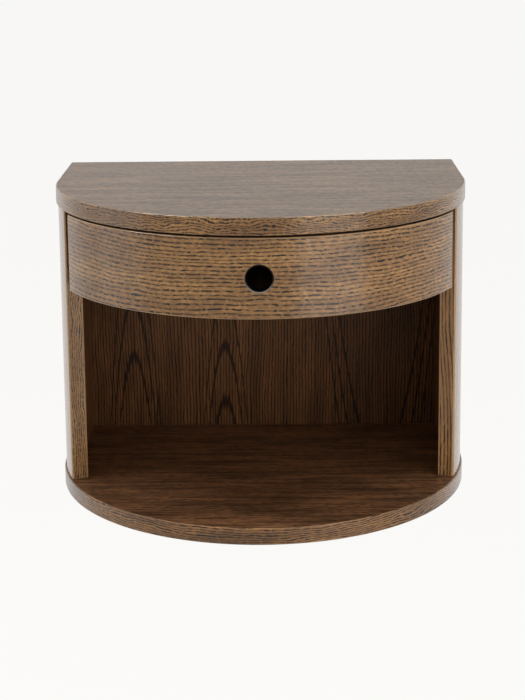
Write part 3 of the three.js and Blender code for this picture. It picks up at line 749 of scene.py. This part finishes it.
def oak(name, look, coordinates=grain_map):
    """A material in one of the looks, with its pores pressed in, and its edges abraded paler with a
    painted highlight.
    """
    material, nodes = new_material(name)
    u, v = coordinates(nodes)
    ring = growth(nodes, u, v, look)
    fibre = grain_noise(nodes, u, v, FIBRE, look.seed)
    cloud = grain_noise(nodes, u, v, CLOUDS, look.seed)
    dark = oak_pores(nodes, u, v, ring, look)
    if look.arches:
        lines = arch_lines(nodes, u, v, fibre, look.arches)
        dark = nodes.math("MAXIMUM", dark, nodes.math("MULTIPLY", lines, ARCH_DARKNESS))

    base = nodes.mix(nodes.step(cloud, *CLOUD_EDGE), look.light, look.dark)
    toned = nodes.shaded(base, oak_shade(nodes, u, v, ring, fibre, look))
    colour = nodes.mix(dark, toned, look.pore)
    # the rounded edges turn paler: partly abrasion, partly a painted highlight
    rubbed_and_highlit = nodes.math("MULTIPLY", nodes.wear_and_highlight(), nodes.step(cloud, *RUBBED_AND_HIGHLIT_EDGE))
    colour = nodes.mix(nodes.math("MULTIPLY", rubbed_and_highlit, look.rub), colour, look.worn)

    height = nodes.math("MULTIPLY_ADD", dark, -1.0, nodes.math("MULTIPLY", fibre, FIBRE_HEIGHT))
    values = {
        "Base Color": colour,
        "Roughness": nodes.math("MULTIPLY_ADD", fibre, *FIBRE_ROUGHNESS),
        "Specular IOR Level": look.gloss,
        "Coat Weight": look.coat,
        "Coat IOR": look.index,
        "Coat Roughness": COAT_ROUGHNESS,
        "Sheen Weight": look.sheen,
        "Sheen Roughness": SHEEN_ROUGHNESS,
    }
    surface(nodes, values, height, PORE_DEPTH)
    return material


# Plain wood of the parts inside
DEPTH_AXIS, HEIGHT_AXIS = 1, 2  # which a grain runs along

PLAIN_BANDS = Noise(4.0, 110.0, 1.0, 4.0, 0.65)
PLAIN_BAND_EDGE = (0.34, 0.66)
PLAIN_FIBRE = Noise(24.0, 900.0, 5.0, 4.0, 0.65)
PLAIN_FIBRE_SHADE = (0.5, 0.74)  # factor, and what is added
PLAIN_FIBRE_ROUGHNESS = (0.15, 0.5)  # factor, and what is added
FLECKS = Noise(200.0, 1200.0, 9.0, 1.0)
FLECK_EDGE = (0.60, 0.70)
FLECK_DARKNESS = 0.5
FLECK_COLOUR = srgb(120, 84, 50)
GRAIN_SLANT = 0.8  # share of the third axis in the place across the grain
PLAIN_GLOSS = 0.3
PLAIN_DEPTH = 0.00012

# Their light and dark tones
BIRCH = (srgb(214, 184, 142), srgb(196, 160, 116))
BATTEN_BEECH = (srgb(206, 164, 122), srgb(186, 142, 100))
DOWEL_BEECH = (srgb(210, 172, 130), srgb(190, 148, 106))


def plain_wood(name, light, dark, along):
    """Pale wood with a fine grain along one axis of the cabinet."""
    material, nodes = new_material(name)
    axes = nodes.axes()
    u = axes[along]
    slanted = nodes.math("MULTIPLY", axes[(along + 2) % 3], GRAIN_SLANT)
    v = nodes.math("ADD", axes[(along + 1) % 3], slanted)
    bands = grain_noise(nodes, u, v, PLAIN_BANDS)
    fibre = grain_noise(nodes, u, v, PLAIN_FIBRE)
    fleck = grain_noise(nodes, u, v, FLECKS)
    base = nodes.mix(nodes.step(bands, *PLAIN_BAND_EDGE), light, dark)
    toned = nodes.shaded(base, nodes.math("MULTIPLY_ADD", fibre, *PLAIN_FIBRE_SHADE))
    flecked = nodes.math("MULTIPLY", nodes.step(fleck, *FLECK_EDGE), FLECK_DARKNESS)
    values = {
        "Base Color": nodes.mix(flecked, toned, FLECK_COLOUR),
        "Roughness": nodes.math("MULTIPLY_ADD", fibre, *PLAIN_FIBRE_ROUGHNESS),
        "Specular IOR Level": PLAIN_GLOSS,
    }
    surface(nodes, values, fibre, PLAIN_DEPTH)
    return material


# Bright zinc plate
ZINC_LINES = Noise(12.0, 2600.0, 2.0, 3.0, 0.6)
SPANGLE_SCALE = 120.0
ZINC_DARK = srgb(178, 182, 188)
ZINC_LIGHT = srgb(208, 210, 212)
ZINC_ROUGHNESS = 0.16
LINE_ROUGHNESS = 0.14
SPANGLE_ROUGHNESS = 0.18
ZINC_DEPTH = 0.00003


def zinc(name):
    """Bright zinc plate with spangle, and faint rolling lines along the cabinet's depth."""
    material, nodes = new_material(name)
    x, y, z = nodes.axes()
    lines = grain_noise(nodes, y, nodes.math("ADD", x, z), ZINC_LINES)
    spangle = nodes.noise((x, SPANGLE_SCALE), (y, SPANGLE_SCALE), (z, SPANGLE_SCALE))
    from_lines = nodes.math("MULTIPLY", lines, LINE_ROUGHNESS)
    from_both = nodes.math("ADD", from_lines, nodes.math("MULTIPLY", spangle, SPANGLE_ROUGHNESS))
    values = {
        "Base Color": nodes.mix(spangle, ZINC_DARK, ZINC_LIGHT),
        "Metallic": 1.0,
        "Roughness": nodes.math("ADD", from_both, ZINC_ROUGHNESS),
    }
    surface(nodes, values, lines, ZINC_DEPTH)
    return material


# Black plastic, with a pale painted reflection where a piece's mask is set
PLASTIC_SCALE = 1800.0
PLASTIC_DARK = srgb(10, 9, 9)
PLASTIC_LIGHT = srgb(22, 21, 20)
PLASTIC_PAINTED_REFLECTION = srgb(176, 170, 162)
PLASTIC_REFLECTION_EDGE = (0.1, 0.9)
PLASTIC_ROUGHNESS = (0.2, 0.42)  # factor, and what is added
PLASTIC_GLOSS = 0.15
PLASTIC_DEPTH = 0.00004


def black_plastic(name):
    """Black plastic with a fine texture, and a pale painted reflection where a piece's mask is set."""
    material, nodes = new_material(name)
    x, y, z = nodes.axes()
    texture = nodes.noise((x, PLASTIC_SCALE), (y, PLASTIC_SCALE), (z, PLASTIC_SCALE))
    black = nodes.mix(texture, PLASTIC_DARK, PLASTIC_LIGHT)
    values = {
        # painted reflection: the mask turns the black pale
        "Base Color": nodes.mix(nodes.step(nodes.wear_and_highlight(), *PLASTIC_REFLECTION_EDGE), black, PLASTIC_PAINTED_REFLECTION),
        "Roughness": nodes.math("MULTIPLY_ADD", texture, *PLASTIC_ROUGHNESS),
        "Specular IOR Level": PLASTIC_GLOSS,
    }
    surface(nodes, values, texture, PLASTIC_DEPTH)
    return material


# Looks of the oak, board by board
# Each palette's pale edge colour stands for abraded edges together with a painted highlight
WARM = dict(
    light=srgb(202, 152, 96), dark=srgb(162, 118, 76),
    pore=srgb(9, 7, 7), worn=srgb(228, 188, 142),
)
# Darker tones for the bottom slab's band: painted shade, as it gets less light than the top slab's band
DEEPER_PAINTED_SHADE = dict(
    light=srgb(182, 132, 84), dark=srgb(142, 102, 66),
    pore=srgb(7, 5, 4), worn=srgb(228, 184, 130),
)
PALER = dict(
    light=srgb(184, 138, 96), dark=srgb(152, 114, 80),
    pore=srgb(12, 11, 11), worn=srgb(190, 150, 110),
)
GREYED = dict(
    light=srgb(152, 123, 96), dark=srgb(124, 100, 79),
    pore=srgb(12, 11, 11), worn=srgb(140, 115, 92),
)
# Darker tones for the parts inside the cabinet: painted shade
SHADE_PAINTED = dict(
    light=srgb(136, 92, 56), dark=srgb(106, 72, 44),
    pore=srgb(10, 7, 7), worn=srgb(140, 96, 60),
)
# lighter shade-painted tones for the shelf's top face
FLAT_SHADE_PAINTED = dict(SHADE_PAINTED, light=srgb(160, 111, 74), dark=srgb(126, 88, 58))

OAK_LOOKS = {
    "oak_front": Oak(
        **WARM, rub=0.8, spacing=0.0037, row=0.23, pitch=0.0100, cover=0.86, depth=1.0, between=0.40,
        wander=(0.0044, 30.0, 50.0), ribs=0.58, streaks=(0.10, 8.0), seed=4.0, gloss=0.1, coat=1.0,
        index=1.34, sheen=1.0,
    ),
    "oak_band": Oak(
        **WARM, rub=0.10, spacing=0.0023, row=0.30, pitch=0.0065, cover=0.88, depth=0.98,
        between=0.35, wander=(0.0130, 34.0, 60.0), ribs=0.60, streaks=(0.15, 12.0), seed=31.0,
        gloss=0.1, coat=1.0, index=1.33, sheen=1.0,
    ),
    # the bottom slab's band: darker tones, painted shade
    "oak_band_low_painted_shade": Oak(
        **DEEPER_PAINTED_SHADE, rub=0.15, spacing=0.0026, row=0.27, pitch=0.0140, cover=0.95, depth=0.98,
        between=0.30, wander=(0.0120, 18.0, 50.0), ribs=0.60, streaks=(0.15, 12.0), seed=37.0,
        gloss=0.1, coat=1.0, index=1.33, sheen=0.8,
    ),
    "oak_edge_left": Oak(
        **WARM, rub=0.65, spacing=0.0025, row=0.26, pitch=0.0080, cover=0.92, depth=0.97,
        between=0.30, wander=(0.0100, 30.0, 44.0), ribs=0.50, streaks=(0.15, 12.0), seed=57.0,
        gloss=0.1, coat=1.0, index=1.25,
    ),
    "oak_edge_right": Oak(
        **WARM, rub=0.65, spacing=0.0032, row=0.20, pitch=0.0420, cover=1.1, depth=0.95, between=0.15,
        wander=(0.0020, 14.0, 60.0), ribs=0.48, streaks=(0.15, 8.0), seed=61.0, gloss=0.1, coat=1.0,
        index=1.3,
    ),
    "oak_side": Oak(
        **PALER, rub=0.45, spacing=0.0036, row=0.24, pitch=0.0140, cover=0.85, depth=0.90,
        between=0.25, wander=(0.0040, 20.0, 40.0), ribs=0.35, streaks=(0.15, 8.0), seed=71.0,
        gloss=0.5, coat=1.0, index=1.5,
    ),
    # the sides' inner faces: darker tones, painted shade
    "oak_inner_painted_shade": Oak(
        **SHADE_PAINTED, rub=0.20, spacing=0.0034, row=0.24, pitch=0.0300, cover=0.90, depth=0.85,
        between=0.20, wander=(0.0030, 20.0, 40.0), ribs=0.30, streaks=(0.20, 8.0), seed=79.0,
        gloss=0.1, coat=0.1, index=1.3,
    ),
    "oak_top": Oak(
        **GREYED, rub=0.10, spacing=0.0043, row=0.22, pitch=0.0150, cover=0.62, depth=0.95,
        between=0.30, wander=(0.0022, 14.0, 40.0), ribs=0.20, streaks=(0.42, 10.0), seed=83.0,
        gloss=0.2, coat=0.2, index=1.5,
    ),
    # the shelf's top face: darker tones, painted shade
    "oak_shelf_painted_shade": Oak(
        **FLAT_SHADE_PAINTED, rub=0.10, spacing=0.0040, row=0.26, pitch=0.0200, cover=0.70, depth=0.90,
        between=0.20, wander=(0.0030, 24.0, 40.0), ribs=0.34, streaks=(0.60, 13.0), seed=97.0,
        gloss=0.3, coat=0.5, index=1.5,
    ),
}

BACK_ARCHES = (Arch(-0.138, 0.093, 275.0), Arch(-0.041, 0.043, 275.0), Arch(0.124, -0.025, -85.0))
# The back panel: darker tones, painted shade, with its arched grain
BACK_LOOK = Oak(
    **SHADE_PAINTED, rub=0.10, spacing=0.0032, row=0.20, pitch=0.0420, cover=1.3, depth=0.90,
    between=0.35, wander=(0.0035, 25.0, 60.0), ribs=0.55, streaks=(0.25, 8.0), seed=11.0,
    gloss=0.1, coat=0.1, index=1.3, arches=BACK_ARCHES,
)


# The pieces
def stand_in(piece, body, node):
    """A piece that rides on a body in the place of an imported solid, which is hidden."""
    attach(piece, body)
    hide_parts(node)


def slab_boards(finishes):
    slabs = (
        ("top_panel", top_low, top_high, "oak_top", "oak_band"),
        ("bottom_panel", slab_low, slab_high, "oak_shelf_painted_shade", "oak_band_low_painted_shade"),
    )
    for name, low, high, face, band in slabs:
        shell = Shell()
        board(shell, slab_outline(), low.z, high.z)
        piece = shell.build(name.replace("panel", "board"), [finishes[face], finishes[band]])
        stand_in(piece, "carcass", name)


def side_boards(finishes):
    for name, stretches in (("left", left_side_outline()), ("right", right_side_outline())):
        shell = Shell()
        board(shell, stretches, side_low.z, side_high.z, upright=True)
        looks = ("oak_side", f"oak_edge_{name}", "oak_side", "oak_inner_painted_shade")
        piece = shell.build(f"side_board_{name}", [finishes[look] for look in looks])
        stand_in(piece, "carcass", f"side_panel_{name}")


def drawer_board(finishes):
    shell = Shell()
    spots, table = board(shell, front_outline(), front_low.z, front_high.z,
                         levels=window_levels(), opening=WINDOW_STRETCHES)
    pierce(shell, spots, table)
    piece = shell.build("drawer_front_board", [finishes["oak_top"], finishes["oak_front"]])
    stand_in(piece, "drawer", "drawer_front")


def sleeve(material):
    shell = Shell()
    liner(shell)
    stand_in(shell.build("finger_hole_sleeve", [material]), "drawer", "finger_hole_liner")


SMOOTH_LIMIT = math.radians(32)  # facets that meet at less than this angle are shaded as round


def smooth_below_limit():
    """A modifier's node group that shades a solid's facets as round, and leaves its sharp edges."""
    group = bpy.data.node_groups.new("smooth_below_angle", "GeometryNodeTree")
    group.interface.new_socket("Geometry", in_out="INPUT", socket_type="NodeSocketGeometry")
    group.interface.new_socket("Geometry", in_out="OUTPUT", socket_type="NodeSocketGeometry")
    nodes = Nodes(group)
    angle = nodes.add("GeometryNodeInputMeshEdgeAngle")
    gentle = nodes.add(
        "FunctionNodeCompare", (angle, SMOOTH_LIMIT), operation="LESS_THAN", data_type="FLOAT",
    )
    mesh = nodes.add("NodeGroupInput")
    for smooth, domain in ((True, "FACE"), (gentle, "EDGE")):
        values = {"Geometry": mesh, "Shade Smooth": smooth}
        mesh = nodes.add("GeometryNodeSetShadeSmooth", values, domain=domain)
    nodes.add("NodeGroupOutput", {"Geometry": mesh})
    return group


def finish_frame_nodes(finishes):
    """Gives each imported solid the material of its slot, and shades its facets as round."""
    group = smooth_below_limit()
    slots = {part["node"]: part["material_slot"] for part in frame["record"]["subparts"]}
    for node, piece in frame["nodes"].items():
        piece.data.materials.clear()
        piece.data.materials.append(finishes[slots[node]])
        piece.modifiers.new("smooth", "NODES").node_group = group


# Light, floor and camera
BACKGROUND = srgb(249, 248, 246)
AMBIENT = 0.27  # strength of the world's light on the object

FLOOR_Z = -0.45
FLOOR_HALF = 60.0
FLOOR_COLOUR = (0.1, 0.1, 0.099, 1)
FLOOR_GLOW = 0.963  # strength at which the floor is seen
FLOOR_BOUNCE = 0.20  # strength of its glow on the object, which stands in for light bounced off a pale floor

# Lamps: azimuth in degrees from the front towards the right, power in watts, roll in degrees
Lamp = namedtuple("Lamp", "name azimuth distance height size power roll")
LAMPS = (
    Lamp("softbox_left", -80, 1.7, 0.40, (1.0, 1.3), 4.4, 0),
    Lamp("softbox_right", 38, 1.7, 0.02, (1.1, 1.1), 8.9, 0),
    Lamp("overhead_left", -87, 1.08, 1.88, (0.80, 0.14), 8.5, 49),
    Lamp("overhead_right", 74, 0.86, 1.98, (1.04, 0.14), 7.5, -47),
)

# The camera, with its angles in radians and its lens and sensor in millimetres
CAMERA_PLACE = (0.0178, -1.5709, 0.5756)
CAMERA_YAW = -0.0032
CAMERA_PITCH = 0.1879
CAMERA_ROLL = -0.0091
CAMERA_LENS = 85.56
CAMERA_SENSOR = 36
CAMERA_SHIFT = (-0.0161, -0.20)


def lamps():
    """Soft lamps round the object, each aimed at its middle and then rolled."""
    target = Vector((0, 0, (cad_box[0][2] + cad_box[1][2]) / 2))
    for lamp in LAMPS:
        data = bpy.data.lights.new(lamp.name, "AREA")
        data.shape = "RECTANGLE"
        data.size, data.size_y = lamp.size
        data.energy = lamp.power
        piece = bpy.data.objects.new(lamp.name, data)
        bpy.context.collection.objects.link(piece)
        azimuth = math.radians(lamp.azimuth)
        x = lamp.distance * math.sin(azimuth)
        y = -lamp.distance * math.cos(azimuth)
        location = Vector((x, y, lamp.height))
        aim = (target - location).to_track_quat("-Z", "Y").to_matrix().to_4x4()
        turn = Matrix.Rotation(math.radians(lamp.roll), 4, "Z")
        piece.matrix_world = Matrix.Translation(location) @ aim @ turn


def seen_rays(nodes):
    """1 for rays that show the surroundings: to the camera, in a reflection or through glass."""
    node = nodes.tree.nodes.new("ShaderNodeLightPath")
    seen = nodes.math("MAXIMUM", node.outputs["Is Camera Ray"], node.outputs["Is Glossy Ray"])
    return nodes.math("MAXIMUM", seen, node.outputs["Is Transmission Ray"])


def world():
    """Pale surroundings, which light the object less brightly than they are seen."""
    surroundings = bpy.data.worlds.new("studio")
    surroundings.use_nodes = True
    bpy.context.scene.world = surroundings
    nodes = Nodes(surroundings.node_tree)
    strength = nodes.math("MULTIPLY_ADD", seen_rays(nodes), 1.0 - AMBIENT, AMBIENT)
    light = nodes.add("ShaderNodeBackground", {"Color": BACKGROUND, "Strength": strength})
    nodes.add("ShaderNodeOutputWorld", {"Surface": light})


def floor():
    """A wide floor, dark in itself, that glows pale where it is seen, glows weakly on the object as
    bounced light, and takes the object's shadow.
    """
    ends = (-FLOOR_HALF, FLOOR_HALF)
    corners = [(x, y, FLOOR_Z) for y in ends for x in ends]
    mesh = bpy.data.meshes.new("floor")
    mesh.from_pydata(corners, [], [(0, 1, 3, 2)])
    piece = bpy.data.objects.new("floor", mesh)
    bpy.context.collection.objects.link(piece)
    material, nodes = new_material("floor")
    plain = nodes.add("ShaderNodeBsdfDiffuse", {"Color": FLOOR_COLOUR})
    glow = nodes.add("ShaderNodeEmission", {"Color": BACKGROUND, "Strength": FLOOR_GLOW})
    bounce = nodes.add("ShaderNodeEmission", {"Color": BACKGROUND, "Strength": FLOOR_BOUNCE})
    light = nodes.add("ShaderNodeMixShader", (seen_rays(nodes), bounce, glow))
    nodes.add("ShaderNodeOutputMaterial", {"Surface": nodes.add("ShaderNodeAddShader", (plain, light))})
    mesh.materials.append(material)


def camera():
    """The camera at the photo's viewing angle."""
    data = bpy.data.cameras.new("camera")
    data.sensor_width = CAMERA_SENSOR
    data.lens = CAMERA_LENS
    data.shift_x, data.shift_y = CAMERA_SHIFT
    view = bpy.data.objects.new("camera", data)
    bpy.context.collection.objects.link(view)
    view.matrix_world = (
        Matrix.Translation(CAMERA_PLACE)
        @ Matrix.Rotation(-CAMERA_YAW, 4, "Z")
        @ Matrix.Rotation(math.pi / 2 - CAMERA_PITCH, 4, "X")
        @ Matrix.Rotation(CAMERA_ROLL, 4, "Z")
    )
    bpy.context.scene.camera = view


camera()

solid_finishes = {
    # the imported oak solids take the back panel's look, darker with painted shade
    "stained_oak": oak("oak_back_painted_shade", BACK_LOOK, grain_upright),
    "drawer_box_wood": plain_wood("birch", *BIRCH, DEPTH_AXIS),
    "batten_wood": plain_wood("beech_batten", *BATTEN_BEECH, DEPTH_AXIS),
    "beech_dowel": plain_wood("beech_dowel", *DOWEL_BEECH, HEIGHT_AXIS),
    "zinc_plated_steel": zinc("zinc"),
    "black_liner": black_plastic("black_plastic"),
}
finish_frame_nodes(solid_finishes)

board_finishes = {name: oak(name, look) for name, look in OAK_LOOKS.items()}
slab_boards(board_finishes)
side_boards(board_finishes)
drawer_board(board_finishes)
sleeve(solid_finishes["black_liner"])

lamps()
world()
floor()
bpy.context.scene.view_settings.view_transform = "Standard"
